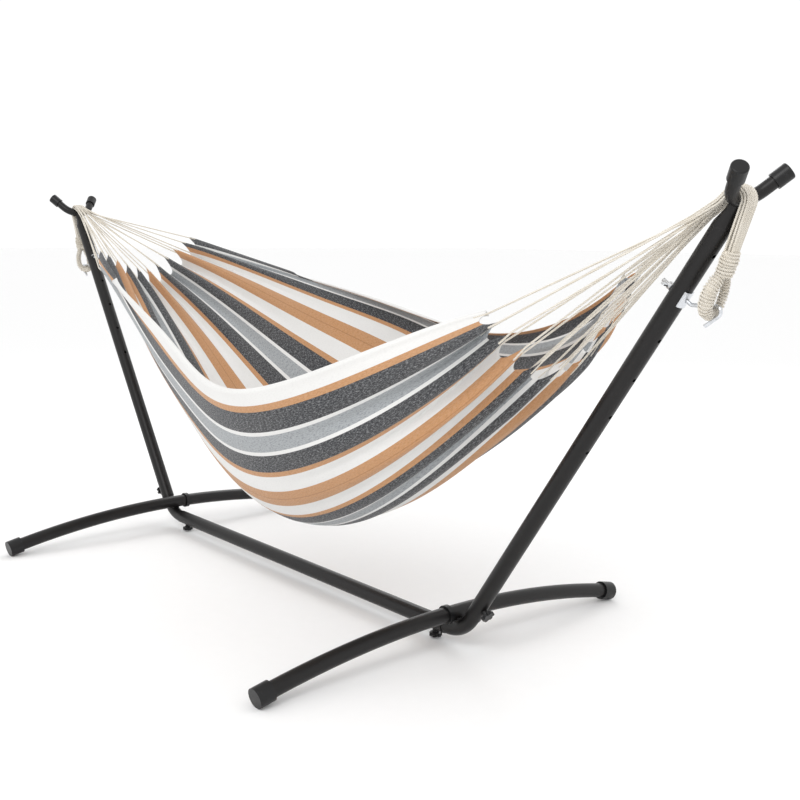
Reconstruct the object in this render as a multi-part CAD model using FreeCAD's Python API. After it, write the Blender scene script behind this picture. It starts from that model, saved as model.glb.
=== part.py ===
import FreeCAD, Part
import math
import os

from FreeCAD import Vector

# Hammock on a knock-down steel stand.  Millimetres, +Z up, X along the hammock,
# origin on the floor under the middle of the beam.  The two ends of the stand are the
# same parts turned half a turn about Z.

# ---- stand: overall sizes ----
foot_bar_length = 1160.0        # one foot bar, over its two end caps
foot_spacing = 1396.0           # between the axes of the two foot bars
yoke_height = 1055.6            # axis of the yoke tube at its lowest point
upright_angle = 55.6            # lean of the uprights above the floor, degrees
beam_height = 42.0              # axis of the beam above the floor

# ---- tubes ----
main_tube_od = 40.0             # beam and uprights
main_tube_wall = 1.5
elbow_clearance = 0.3           # radial, elbow inside beam and upright
elbow_wall = 2.0
elbow_bend_radius = 100.0       # to the tube's axis
elbow_insertion = 90.0          # length hidden inside each sleeve
elbow_bare = 8.0                # straight length seen between bend and sleeve
foot_tube_od = 38.0
foot_tube_wall = 1.5
foot_spigot_clearance = 0.3     # radial, spigot inside the short foot tube
foot_spigot_length = 60.0
foot_weld_gap = 1.0             # between foot tube and elbow, filled by the weld
foot_weld_width = 18.0
foot_weld_length = 20.0
foot_weld_depth = 9.0
foot_joint_gap = 0.2            # between the ends of the two foot tubes
foot_joint_offset = 34.0        # joint of the two foot tubes from the middle of the bar
yoke_tube_od = 26.0
yoke_tube_wall = 2.0
yoke_bend_radius = 58.0
yoke_bend_half_angle = 58.0     # degrees each side of the lowest point
yoke_arm_straight = 50.0        # straight tube beyond the bend
yoke_lean = 8.0                 # degrees that the arms lean outwards from the upright's line
swage_end = 55.0                # upright starts to narrow this far below the yoke axis
swage_start = 25.0              # and has the yoke tube's diameter from here up
swage_extra = 1.0               # the swaged end is this much wider than the yoke tube

# ---- hook holes ----
hook_hole_count = 6
hook_hole_first = 110.0         # below the yoke axis, along the upright
hook_hole_pitch = 100.0
hook_hole_used = 1              # index of the hole that carries the hook

# ---- hook, saddle plate, wing nut ----
rod_diameter = 8.0
rod_hole_clearance = 0.5        # radial, rod in the upright and in the saddle plate
hook_shank_length = 30.0        # straight, from the upright's axis outwards
hook_first_radius = 14.0        # bend that brings the rod level
hook_level_run = 50.0           # level rod that the rope's eye hangs on
hook_bend_radius = 10.0
hook_bend_turn = 145.0          # degrees, from level round to the tip
hook_tip_length = 34.0
rod_inner_length = 46.0         # rod end beyond the upright's axis on the inner side
saddle_length = 34.0
saddle_width = 26.0
saddle_thickness = 2.5
saddle_seat_clearance = 0.2
wing_nut_hub_radius = 8.0
wing_nut_hub_height = 9.0
wing_nut_span = 36.0
wing_nut_wing_height = 15.0
wing_nut_wing_thickness = 3.0
wing_nut_gap = 0.4              # to the upright
thread_clearance = 0.08         # radial, every turning thread

# ---- clamping knobs ----
knob_radius = 16.0
knob_height = 9.0
knob_lobes = 6
knob_lobe_cut = 5.0
knob_lobe_offset = 1.5          # middle of each cut beyond the knob's rim
knob_screw_cover = 3.0          # plastic over the screw's end
knob_neck_radius = 8.5
knob_neck_height = 3.2
knob_neck_gap = 0.4             # to the weld nut
knob_screw_diameter = 8.0
knob_screw_tip_gap = 0.3        # to the elbow that it presses on
knob_beam_setback = 38.0        # from the sleeve's end
knob_upright_setback = 38.0
weld_nut_radius = 8.0
weld_nut_height = 4.0
weld_nut_sink = 1.5             # collar before it is cut to the tube's round

# ---- plastic caps and rings ----
foot_cap_wall = 4.8
foot_cap_length = 40.0
foot_cap_end = 5.0
cap_clearance = 0.2             # radial, cap over its tube
cap_end_gap = 0.2               # between the tube's end and the cap's floor
foot_cap_sink = 1.0             # rim trimmed flat where it stands on the floor
yoke_cap_wall = 3.3
yoke_cap_length = 34.0
yoke_cap_end = 5.0
yoke_cap_rounding = 3.0
ring_wall = 4.3
ring_width = 12.0

# ---- hammock ----
cord_diameter = 4.0
cords_per_end = 22              # one for each fold of the cloth's gathered ends
cloth_thickness = 3.0
cord_end_gap = 0.6              # between cord end and cloth end
cord_layers = 4                 # where the cords gather at the yoke
cord_layer_pitch = 4.8
cord_fan_width = 34.0           # from first to last cord where they gather
bundle_width = 38.0             # rope bundle over the yoke, across the valley
bundle_thickness = 18.0
bundle_seat_clearance = 0.5
bundle_start = 26.0             # fixed bundle starts this far inside the yoke's axis
swing_gap = 0.4                 # between fixed bundle and swinging cords
whipping_width = 44.0
whipping_thickness = 34.0
whipping_length = 46.0
eye_rope_diameter = 16.0        # free leg of the eye
eye_bound_diameter = 30.0       # leg that is bound with cord
eye_binding_inside = 3.0        # thickness of the binding on the leg's inner side
eye_half_width = 22.0
eye_length = 74.0
eye_setback = 12.0              # from the outer end of the hook's level rod
eye_rod_clearance = 0.5

# Hammock bed: five lengthwise lines of the cloth, near edge to far edge, as it hangs when
# it is spread by a load.  Each point is the percentage of the way from the left end to the
# right end, the place across, and the drop below the yoke axis.
bed_end_setback_left = 455.0    # from yoke axis to the 0 percent line
bed_end_setback_right = 385.0   # from yoke axis to the 100 percent line
bed_lines = [
    [(0, -145, 155), (17, -215, 250), (36, -290, 343), (53, -375, 420),
     (69, -420, 430), (86, -360, 327), (101.4, -240, 217)],
    [(0, -80, 185), (17, -150, 335), (34, -225, 520), (51, -275, 670),
     (67, -285, 720), (85, -235, 555), (101.4, -165, 280)],
    [(0, 30, 210), (17, 30, 390), (34, 0, 575), (51, -30, 745),
     (67, -40, 790), (85, -40, 600), (100.5, 0, 323)],
    [(0, 140, 155), (17, 200, 255), (34, 260, 375), (51, 300, 485),
     (67, 290, 555), (85, 245, 455), (98.4, 180, 206)],
    [(0, 220, 115), (16, 290, 172), (35, 340, 235), (51, 365, 294),
     (68, 365, 333), (84, 335, 280), (97.9, 280, 121)],
]

# ---- sizes that follow ----
tiny = 0.001
lean = math.radians(upright_angle)
up_along = Vector(math.cos(lean), 0, math.sin(lean))
outward = Vector(math.sin(lean), 0, -math.cos(lean))
across = Vector(0, 1, 0)
upwards = Vector(0, 0, 1)
arms_lean = math.radians(yoke_lean)
yoke_up = up_along * math.cos(arms_lean) + outward * math.sin(arms_lean)
elbow_od = main_tube_od - 2 * main_tube_wall - 2 * elbow_clearance
bend_tangent = elbow_bend_radius * math.tan(lean / 2)
foot_nest_radius = elbow_bend_radius - (elbow_od + foot_tube_od) / 2 - foot_weld_gap
foot_x = foot_spacing / 2
bend_centre = Vector(foot_x - foot_nest_radius * math.sin(lean / 2), 0,
                     beam_height + elbow_bend_radius)
foot_mid_z = bend_centre.z - foot_nest_radius * math.cos(lean / 2)
corner = Vector(bend_centre.x + bend_tangent, 0, beam_height)
yoke_valley = corner + up_along * ((yoke_height - beam_height) / math.sin(lean))
beam_half = bend_centre.x - elbow_bare
foot_cap_od = foot_tube_od + 2 * (cap_clearance + foot_cap_wall)
yoke_cap_od = yoke_tube_od + 2 * (cap_clearance + yoke_cap_wall)
ring_od = foot_tube_od + 2 * (cap_clearance + ring_wall)
upright_foot = corner + up_along * (bend_tangent + elbow_bare)


def straight_rod(start, end, diameter):
    """Round bar from one point to the other."""
    run = end - start
    return Part.makeCylinder(diameter / 2, run.Length, start, run)


def straight_tube(start, end, outer, inner):
    """Round tube from one point to the other."""
    run = end - start
    shift = run.normalize() * 1.0
    return straight_rod(start, end, outer).cut(straight_rod(start - shift, end + shift, inner))


def arc_through(start, middle, end):
    """Circular edge through three points."""
    return Part.Arc(start, middle, end).toShape()


def swept_rod(edges, diameter):
    """Round bar along tangent lines and arcs."""
    path = Part.Wire(edges)
    first = edges[0]
    start = first.valueAt(first.FirstParameter)
    heading = first.tangentAt(first.FirstParameter)
    ring = Part.Wire([Part.makeCircle(diameter / 2, start, heading)])
    return path.makePipeShell([ring], True, False)


def turned_half(shape):
    """The same part at the left end."""
    copy = shape.copy()
    copy.rotate(Vector(0, 0, 0), Vector(0, 0, 1), 180)
    return copy


def write(name, shape):
    """One STEP file for each node."""
    shape.exportStep(os.path.join("parts", name + ".step"))


def write_pair(name, shape):
    """A stand part at both ends."""
    write(name + "_right", shape)
    write(name + "_left", turned_half(shape))


# ---- stand tubes ----
def knob_frame_beam():
    """Middle of the beam clamp's screw on the beam's axis, and its outward direction."""
    return Vector(beam_half - knob_beam_setback, 0, beam_height), Vector(0, 0, -1)


def knob_frame_upright():
    """Middle of the upright clamp's screw on the upright's axis, and its direction."""
    return upright_foot + up_along * knob_upright_setback, Vector(outward)


def clamp_hole(frame, diameter):
    """Bar through one wall of a sleeve, for the clamp screw's hole."""
    point, direction = frame
    return straight_rod(point, point + direction * (main_tube_od / 2 + 30), diameter)


def beam():
    bore = main_tube_od - 2 * main_tube_wall
    tube = straight_tube(Vector(-beam_half, 0, beam_height), Vector(beam_half, 0, beam_height),
                         main_tube_od, bore)
    hole = clamp_hole(knob_frame_beam(), knob_screw_diameter + 2 * rod_hole_clearance)
    return tube.cut(hole).cut(turned_half(hole))


def elbow_path():
    start = Vector(beam_half - elbow_insertion, 0, beam_height)
    bend_start = Vector(bend_centre.x, 0, beam_height)
    bend_end = corner + up_along * bend_tangent
    half = lean / 2
    bend_middle = bend_centre + Vector(math.sin(half), 0, -math.cos(half)) * elbow_bend_radius
    end = upright_foot + up_along * elbow_insertion
    return [Part.LineSegment(start, bend_start).toShape(),
            arc_through(bend_start, bend_middle, bend_end),
            Part.LineSegment(bend_end, end).toShape()]


def elbow():
    path = elbow_path()
    return swept_rod(path, elbow_od).cut(swept_rod(path, elbow_od - 2 * elbow_wall))


def upright_profile(offset):
    """Half outline of the upright, offset inwards by the wall, as (radius, drop) pairs."""
    full = main_tube_od / 2 - offset
    narrow = (yoke_tube_od + swage_extra) / 2 - offset
    length = (yoke_valley - upright_foot).Length
    over = offset
    return [(0, -over), (narrow, -over), (narrow, swage_start), (full, swage_end),
            (full, length + over), (0, length + over)]


def upright_solid(offset):
    points = [yoke_valley - up_along * drop + outward * radius
              for radius, drop in upright_profile(offset)]
    face = Part.Face(Part.makePolygon(points + points[:1]))
    return face.revolve(yoke_valley, up_along, 360)


def hook_hole_point(index):
    return yoke_valley - up_along * (hook_hole_first + hook_hole_pitch * index)


def upright():
    tube = upright_solid(0).cut(upright_solid(main_tube_wall))
    for index in range(hook_hole_count):
        middle = hook_hole_point(index)
        reach = outward * main_tube_od
        hole_diameter = rod_diameter + 2 * rod_hole_clearance
        tube = tube.cut(straight_rod(middle - reach, middle + reach, hole_diameter))
    screw_hole = knob_screw_diameter + 2 * rod_hole_clearance
    tube = tube.cut(clamp_hole(knob_frame_upright(), screw_hole))
    return tube.cut(swept_rod(yoke_path(), yoke_tube_od))


def yoke_point(side, along):
    """Point on the yoke's axis: along is the angle from the lowest point, in degrees."""
    angle = math.radians(along)
    sideways = across * (side * yoke_bend_radius * math.sin(angle))
    return yoke_valley + sideways + yoke_up * (yoke_bend_radius * (1 - math.cos(angle)))


def yoke_heading(side):
    angle = math.radians(yoke_bend_half_angle)
    return across * (side * math.cos(angle)) + yoke_up * math.sin(angle)


def yoke_end(side):
    return yoke_point(side, yoke_bend_half_angle) + yoke_heading(side) * yoke_arm_straight


def yoke_path():
    near_bend = yoke_point(-1, yoke_bend_half_angle)
    far_bend = yoke_point(1, yoke_bend_half_angle)
    return [Part.LineSegment(yoke_end(-1), near_bend).toShape(),
            arc_through(near_bend, yoke_valley, far_bend),
            Part.LineSegment(far_bend, yoke_end(1)).toShape()]


def yoke():
    path = yoke_path()
    return swept_rod(path, yoke_tube_od).cut(swept_rod(path, yoke_tube_od - 2 * yoke_tube_wall))


# ---- foot bars ----
def foot_arch():
    """Radius of the arched bar and half its axis's span, with its caps' rims on the floor."""
    half_span = foot_bar_length / 2
    radius = 2 * foot_bar_length
    for _ in range(60):
        slope = math.asin(half_span / radius)
        half_span = foot_bar_length / 2 - foot_cap_od / 2 * math.sin(slope)
        end_z = foot_cap_od / 2 * math.cos(slope) - foot_cap_sink
        rise = foot_mid_z - end_z
        radius = (half_span ** 2 + rise ** 2) / (2 * rise)
    return radius, half_span


arch_radius, foot_half_span = foot_arch()


def arch_point(length_from_middle):
    angle = length_from_middle / arch_radius
    return Vector(foot_x, arch_radius * math.sin(angle),
                  foot_mid_z - arch_radius * (1 - math.cos(angle)))


arch_half_length = arch_radius * math.asin(foot_half_span / arch_radius)
foot_tube_end = arch_half_length - foot_cap_end


def arch_rod(start, end, diameter):
    """Round bar along the foot bar's arch between two lengths from its middle."""
    middle = (start + end) / 2
    return swept_rod([arc_through(arch_point(start), arch_point(middle), arch_point(end))],
                     diameter)


def foot_tube_short():
    """Near half: slides over the long tube's spigot."""
    bore = foot_tube_od - 2 * foot_tube_wall
    outer = arch_rod(-foot_tube_end, -foot_joint_offset, foot_tube_od)
    return outer.cut(arch_rod(-foot_tube_end - 1, -foot_joint_offset + 1, bore))


def foot_tube_long():
    """Far half: nests in the elbow's bend, with a swaged spigot for the short tube."""
    bore = foot_tube_od - 2 * foot_tube_wall
    spigot_od = bore - 2 * foot_spigot_clearance
    spigot_bore = spigot_od - 2 * foot_tube_wall
    shoulder = 3.0
    start = -foot_joint_offset + foot_joint_gap
    outer = arch_rod(start, foot_tube_end, foot_tube_od)
    spigot_end = -foot_joint_offset - foot_spigot_length
    outer = outer.fuse(arch_rod(spigot_end, start + shoulder, spigot_od))
    hollow = arch_rod(start + shoulder, foot_tube_end + 1, bore)
    hollow = hollow.fuse(arch_rod(spigot_end - 1, start + shoulder + 1, spigot_bore))
    return outer.cut(hollow).removeSplitter()


def foot_cap(side):
    """Moulded cup over the tube's end, trimmed where it stands on the floor."""
    inner_end = arch_half_length - foot_cap_length
    bore = foot_tube_od + 2 * cap_clearance
    if side > 0:
        cup = arch_rod(inner_end, arch_half_length, foot_cap_od)
        cup = cup.cut(arch_rod(inner_end - 1, foot_tube_end + cap_end_gap, bore))
    else:
        cup = arch_rod(-arch_half_length, -inner_end, foot_cap_od)
        cup = cup.cut(arch_rod(-foot_tube_end - cap_end_gap, -inner_end + 1, bore))
    floor = Part.makeBox(200, 400, 100, Vector(foot_x - 100, side * foot_half_span - 200, -100))
    return cup.cut(floor)


def foot_ring():
    half = ring_width / 2
    centre = -foot_joint_offset
    bore = foot_tube_od + 2 * cap_clearance
    outer = arch_rod(centre - half, centre + half, ring_od)
    return outer.cut(arch_rod(centre - half - 1, centre + half + 1, bore))


def foot_weld():
    """Weld that joins the long foot tube to the inside of the elbow's bend."""
    half = lean / 2
    towards_corner = Vector(math.sin(half), 0, -math.cos(half))
    contact = bend_centre + towards_corner * (foot_nest_radius + foot_tube_od / 2)
    block = Part.makeBox(foot_weld_width, foot_weld_length, foot_weld_depth)
    block.translate(Vector(-foot_weld_width, -foot_weld_length, -foot_weld_depth) / 2)
    block.rotate(Vector(0, 0, 0), Vector(0, 1, 0), -math.degrees(half))
    block.translate(contact)
    block = block.cut(swept_rod(elbow_path(), elbow_od))
    return block.cut(arch_rod(-60, 60, foot_tube_od))


def yoke_cap(side):
    heading = yoke_heading(side)
    tip = yoke_end(side) + heading * (yoke_cap_end + cap_end_gap)
    mouth = tip - heading * yoke_cap_length
    cup = straight_rod(mouth, tip, yoke_cap_od)
    rim = [edge for edge in cup.Edges if abs((edge.CenterOfMass - tip).Length) < 1.0]
    cup = cup.makeFillet(yoke_cap_rounding, rim)
    bore = yoke_tube_od + 2 * cap_clearance
    return cup.cut(straight_rod(mouth - heading, yoke_end(side) + heading * cap_end_gap, bore))


# ---- clamping knobs and weld nuts ----
def weld_nut(frame):
    point, direction = frame
    seat = point + direction * (main_tube_od / 2 - weld_nut_sink)
    top = point + direction * (main_tube_od / 2 + weld_nut_height)
    collar = straight_rod(seat, top, 2 * weld_nut_radius)
    if abs(direction.z) > 0.99:
        axis_start = Vector(-beam_half, 0, beam_height)
        axis_end = Vector(beam_half, 0, beam_height)
    else:
        axis_start = upright_foot
        axis_end = yoke_valley
    collar = collar.cut(straight_rod(axis_start, axis_end, main_tube_od))
    return collar.cut(clamp_hole(frame, knob_screw_diameter + 2 * thread_clearance))


def knob_head(frame):
    """Lobed plastic knob moulded round its screw."""
    point, direction = frame
    base = point + direction * (main_tube_od / 2 + weld_nut_height + knob_neck_gap)
    shoulder = base + direction * knob_neck_height
    top = shoulder + direction * knob_height
    head = straight_rod(shoulder, top, 2 * knob_radius)
    side = across
    other = direction.cross(side)
    for lobe in range(knob_lobes):
        angle = 2 * math.pi * lobe / knob_lobes
        centre = (side * math.cos(angle) + other * math.sin(angle)) * (knob_radius + knob_lobe_offset)
        head = head.cut(straight_rod(shoulder + centre - direction, top + centre + direction,
                                     2 * knob_lobe_cut))
    neck = straight_rod(base, shoulder + direction, 2 * knob_neck_radius)
    head = head.fuse(neck).removeSplitter()
    screw_top = top - direction * knob_screw_cover
    return head.cut(straight_rod(base - direction, screw_top, knob_screw_diameter))


def knob_screw(frame):
    point, direction = frame
    tip = point + direction * (elbow_od / 2 + knob_screw_tip_gap)
    head_top = main_tube_od / 2 + weld_nut_height + knob_neck_gap + knob_neck_height + knob_height
    return straight_rod(tip, point + direction * (head_top - knob_screw_cover), knob_screw_diameter)


# ---- hook hardware ----
def hook_origin():
    return hook_hole_point(hook_hole_used)


def hook_level_ends():
    """Both ends of the hook's level rod, and the centre of the bend before it."""
    shank_end = hook_origin() + outward * hook_shank_length
    first_centre = shank_end + up_along * hook_first_radius
    level_start = first_centre - upwards * hook_first_radius
    return level_start, level_start + Vector(hook_level_run, 0, 0), first_centre


def hook_path():
    """Shank square to the upright, level rod for the rope's eye, and turned-back tip."""
    origin = hook_origin()
    start = origin - outward * rod_inner_length
    shank_end = origin + outward * hook_shank_length
    level_start, level_end, first_centre = hook_level_ends()
    first_middle = first_centre - (up_along + upwards).normalize() * hook_first_radius
    turn_centre = level_end - upwards * hook_bend_radius
    turn = math.radians(hook_bend_turn)
    turn_middle = turn_centre + Vector(math.sin(turn / 2), 0, math.cos(turn / 2)) * hook_bend_radius
    turn_end = turn_centre + Vector(math.sin(turn), 0, math.cos(turn)) * hook_bend_radius
    tip = turn_end + Vector(math.cos(turn), 0, -math.sin(turn)) * hook_tip_length
    return [Part.LineSegment(start, shank_end).toShape(),
            arc_through(shank_end, first_middle, level_start),
            Part.LineSegment(level_start, level_end).toShape(),
            arc_through(level_end, turn_middle, turn_end),
            Part.LineSegment(turn_end, tip).toShape()]


def hook():
    return swept_rod(hook_path(), rod_diameter)


def hook_saddle():
    """Plate curved to the upright, between it and the hook's outer nut face."""
    origin = hook_origin()
    half = up_along * (saddle_length / 2)
    inner = main_tube_od + 2 * saddle_seat_clearance
    shell = straight_tube(origin - half, origin + half, inner + 2 * saddle_thickness, inner)
    reach = main_tube_od
    block = Part.makeBox(reach, saddle_width, saddle_length + 2,
                         Vector(0, -saddle_width / 2, -saddle_length / 2 - 1))
    block.rotate(Vector(0, 0, 0), Vector(0, 1, 0), 90 - upright_angle)
    block.translate(origin)
    plate = shell.common(block)
    hole = rod_diameter + 2 * rod_hole_clearance
    return plate.cut(straight_rod(origin, origin + outward * reach, hole))


def wing_nut():
    """Turned hub with two rounded wings."""
    inward = outward * -1
    base = hook_origin() + inward * (main_tube_od / 2 + wing_nut_gap)
    top = base + inward * wing_nut_hub_height
    nut = straight_rod(base, top, 2 * wing_nut_hub_radius)
    for side in (-1, 1):
        root = base + inward * 2.0 + across * (side * 3.0)
        outline = [root, root + inward * 5.0,
                   root + inward * wing_nut_wing_height + across * (side * 7.0),
                   root + inward * wing_nut_wing_height + across * (side * (wing_nut_span / 2 - 3)),
                   root + inward * 7.0 + across * (side * (wing_nut_span / 2 - 3))]
        face = Part.Face(Part.makePolygon(outline + outline[:1]))
        wing = face.extrude(up_along * wing_nut_wing_thickness)
        wing.translate(up_along * (-wing_nut_wing_thickness / 2))
        upright_edges = [edge for edge in wing.Edges
                         if abs(edge.Length - wing_nut_wing_thickness) < tiny]
        outer_edges = [edge for edge in upright_edges
                       if abs(edge.CenterOfMass.y) > wing_nut_hub_radius]
        wing = wing.makeFillet(2.5, outer_edges)
        nut = nut.fuse(wing)
    bore = rod_diameter + 2 * thread_clearance
    return nut.removeSplitter().cut(straight_rod(base - inward, top + inward * 12, bore))


# ---- rope bundle, whipping and eye ----
bundle_radius = yoke_tube_od / 2 + bundle_thickness / 2 + bundle_seat_clearance


def eye_bottom():
    """Middle of the rope at the eye's lowest point, under the hook's level rod."""
    level_end = hook_level_ends()[1]
    below = (rod_diameter + eye_rope_diameter) / 2 + eye_rod_clearance
    return level_end - Vector(eye_setback, 0, below)


def bundle_frame():
    """Point where the rope leaves the yoke outwards, and the direction down to the hook."""
    run = eye_bottom() - yoke_valley
    distance = run.Length
    opening = math.acos(bundle_radius / distance)
    base = math.atan2(run.z, run.x)
    angle = base + opening
    leave = yoke_valley + Vector(math.cos(angle), 0, math.sin(angle)) * bundle_radius
    down = (eye_bottom() - leave).normalize()
    return leave, down, angle


def oval_wire(centre, heading, width, thickness):
    """Ellipse square to a heading in the XZ plane, its long axis along Y."""
    normal = across.cross(heading)
    ellipse = Part.Ellipse(centre + across * (width / 2), centre + normal * (thickness / 2), centre)
    return Part.Wire([ellipse.toShape()])


def oval_bar(start, end, width, thickness):
    run = end - start
    return Part.Face(oval_wire(start, run.normalize(), width, thickness)).extrude(end - start)


def rope_bundle(approach):
    """Rope from just inside the yoke, over it, and down outside to the whipping."""
    leave, down, leave_angle = bundle_frame()
    arrive_angle = math.pi / 2 + approach
    arrive = yoke_valley + Vector(math.cos(arrive_angle), 0,
                                  math.sin(arrive_angle)) * bundle_radius
    top_angle = (arrive_angle + leave_angle) / 2
    top = yoke_valley + Vector(math.cos(top_angle), 0, math.sin(top_angle)) * bundle_radius
    heading = Vector(math.cos(approach), 0, math.sin(approach))
    run_in = (arrive.x - yoke_valley.x + bundle_start) / math.cos(approach) + 8.0
    start = arrive - heading * run_in
    end = leave + down * (rope_length() - eye_length - whipping_length)
    path = Part.Wire([Part.LineSegment(start, arrive).toShape(),
                      arc_through(arrive, top, leave),
                      Part.LineSegment(leave, end).toShape()])
    section = oval_wire(start, heading, bundle_width, bundle_thickness)
    rope = path.makePipeShell([section], True, False)
    plane_x = yoke_valley.x - bundle_start
    inner = Part.makeBox(200, 200, 200, Vector(plane_x - 200, -100, yoke_valley.z - 100))
    return rope.cut(inner)


def rope_length():
    leave, _, _ = bundle_frame()
    return (eye_bottom() - leave).Length


def whipping():
    leave, down, _ = bundle_frame()
    start = leave + down * (rope_length() - eye_length - whipping_length)
    return oval_bar(start, start + down * whipping_length, whipping_width, whipping_thickness)


def rope_eye():
    """Bound loop whose lower end sits in the hook."""
    _, down, _ = bundle_frame()
    bottom = eye_bottom()
    low = bottom - down * eye_half_width
    top = bottom - down * eye_length
    shoulder_drop = 26.0
    high = top + down * shoulder_drop
    spread = across * eye_half_width
    neck = across * (eye_half_width * 0.45)
    left_low = low - spread
    right_low = low + spread
    left_high = high - spread
    right_high = high + spread
    edges = [Part.LineSegment(left_high, left_low).toShape(),
             arc_through(left_low, bottom, right_low),
             Part.LineSegment(right_low, right_high).toShape()]
    loop = swept_rod(edges, eye_rope_diameter)
    for side, point in ((-1, left_high), (1, right_high)):
        inner = top + neck * side - down * 4.0
        leg = straight_rod(inner, point, eye_rope_diameter)
        loop = loop.fuse(leg)
        loop = loop.fuse(Part.makeSphere(eye_rope_diameter / 2, point))
    thicker = across * ((eye_bound_diameter - eye_rope_diameter) / 2 - eye_binding_inside)
    bound_high = left_high - thicker
    bound_leg = straight_rod(bound_high, left_low - thicker, eye_bound_diameter)
    bound_leg = bound_leg.fuse(Part.makeSphere(eye_bound_diameter / 2, bound_high))
    above = straight_rod(top - down * 30, top, 3 * whipping_width)
    return loop.fuse(bound_leg).cut(above)


# ---- hammock bed and harness cords ----
def bed_point(percent, y, drop):
    left = -yoke_valley.x + bed_end_setback_left
    right = yoke_valley.x - bed_end_setback_right
    return Vector(left + (right - left) * percent / 100, y, yoke_height - drop)


def bed_surface():
    surface = Part.BSplineSurface()
    surface.interpolate([[bed_point(*point) for point in line] for line in bed_lines])
    return surface


def hammock_bed():
    return bed_surface().toShape().makeOffsetShape(-cloth_thickness, 0.01, fill=True)


def bed_end_points(right):
    """Places along one end of the cloth where the cords are tied."""
    surface = bed_surface()
    u_low, u_high, v_low, v_high = surface.bounds()
    v = v_high if right else v_low
    edge = surface.vIso(v).toShape()
    spacing = edge.Length / cords_per_end
    places = []
    for index in range(cords_per_end):
        parameter = edge.getParameterByLength(spacing * (index + 0.5))
        places.append(edge.valueAt(parameter))
    return places


def gather_point(index, fan_share, side, approach):
    """Place of one cord where the harness meets the fixed bundle."""
    arrive_angle = math.pi / 2 + approach
    arrive = Vector(math.cos(arrive_angle), 0, math.sin(arrive_angle)) * bundle_radius
    x = -bundle_start - swing_gap
    z = arrive.z + (x - arrive.x) * math.tan(approach)
    layer = index % cord_layers - (cord_layers - 1) / 2
    normal = Vector(-math.sin(approach), 0, math.cos(approach))
    offset = normal * (layer * cord_layer_pitch)
    return Vector(side * (yoke_valley.x + x + offset.x), fan_share * cord_fan_width,
                  yoke_valley.z + z + offset.z)


def approach_angle(side):
    """Rise of the harness where it reaches the yoke."""
    ends = bed_end_points(side > 0)
    middle = ends[len(ends) // 2]
    return math.atan2(yoke_valley.z - middle.z, yoke_valley.x - abs(middle.x))


def harness(side):
    """Separate straight cords from the cloth's end to the yoke."""
    approach = approach_angle(side)
    plane = side * (yoke_valley.x - bundle_start - swing_gap)
    box_x = plane if side > 0 else plane - 100
    beyond = Part.makeBox(100, 200, 200, Vector(box_x, -100, yoke_valley.z - 100))
    ties = bed_end_points(side > 0)
    first_y = ties[0].y
    spread = ties[-1].y - first_y
    cords = []
    for index, tie in enumerate(ties):
        gather = gather_point(index, (tie.y - first_y) / spread - 0.5, side, approach)
        run = (gather - tie).normalize()
        start = tie + run * (cord_end_gap + cloth_thickness)
        cord = straight_rod(start, gather + run * 12, cord_diameter)
        cords.append(cord.cut(beyond))
    return cords


# ---- write the nodes ----
os.makedirs("parts", exist_ok=True)

write("base_beam", beam())
write_pair("elbow", elbow())
write_pair("upright", upright())
write_pair("yoke", yoke())
write_pair("foot_tube_long", foot_tube_long())
write_pair("foot_tube_short", foot_tube_short())
write_pair("foot_joint_ring", foot_ring())
write_pair("foot_weld", foot_weld())
write_pair("foot_cap_near", foot_cap(-1))
write_pair("foot_cap_far", foot_cap(1))
write_pair("yoke_cap_near", yoke_cap(-1))
write_pair("yoke_cap_far", yoke_cap(1))

for clamp, frame in (("beam", knob_frame_beam()), ("upright", knob_frame_upright())):
    write_pair(clamp + "_weld_nut", weld_nut(frame))
    write_pair(clamp + "_knob", knob_head(frame))
    write_pair(clamp + "_knob_screw", knob_screw(frame))

write_pair("hook", hook())
write_pair("hook_saddle", hook_saddle())
write_pair("wing_nut", wing_nut())

write("rope_bundle_right", rope_bundle(approach_angle(1)))
write("rope_bundle_left", turned_half(rope_bundle(approach_angle(-1))))
write_pair("rope_whipping", whipping())
write_pair("rope_eye", rope_eye())

write("hammock_bed", hammock_bed())
write("harness_cords_right", Part.makeCompound(harness(1)))
write("harness_cords_left", Part.makeCompound(harness(-1)))
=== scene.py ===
import bpy
import math
import numpy as np
from mathutils import Matrix, Vector


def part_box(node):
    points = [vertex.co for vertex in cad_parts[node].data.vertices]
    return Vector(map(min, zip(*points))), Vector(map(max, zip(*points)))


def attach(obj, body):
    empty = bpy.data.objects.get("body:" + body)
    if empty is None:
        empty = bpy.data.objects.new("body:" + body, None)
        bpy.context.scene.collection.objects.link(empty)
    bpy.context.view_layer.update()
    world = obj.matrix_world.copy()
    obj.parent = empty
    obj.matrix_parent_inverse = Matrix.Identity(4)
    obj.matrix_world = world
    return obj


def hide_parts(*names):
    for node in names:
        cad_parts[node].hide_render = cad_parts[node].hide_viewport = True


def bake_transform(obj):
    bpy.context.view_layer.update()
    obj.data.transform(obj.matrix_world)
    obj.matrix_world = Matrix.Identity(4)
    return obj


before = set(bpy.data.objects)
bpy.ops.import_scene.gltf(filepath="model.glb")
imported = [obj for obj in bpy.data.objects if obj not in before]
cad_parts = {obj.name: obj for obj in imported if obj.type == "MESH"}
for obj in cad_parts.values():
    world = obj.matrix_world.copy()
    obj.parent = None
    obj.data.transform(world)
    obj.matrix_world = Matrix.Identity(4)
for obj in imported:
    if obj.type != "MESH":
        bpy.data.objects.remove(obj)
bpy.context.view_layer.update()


# ---- camera ----
# Stands at the low side of the steeper end, a little under the top of the yoke, and looks
# along the hammock.  Its three angles are the heading, the tilt and the roll.
camera_place = Vector((2.556, -1.741, 0.988))
camera_heading = -0.874
camera_tilt = -0.150
camera_roll = 0.0106
camera_lens = 49.24

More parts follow.
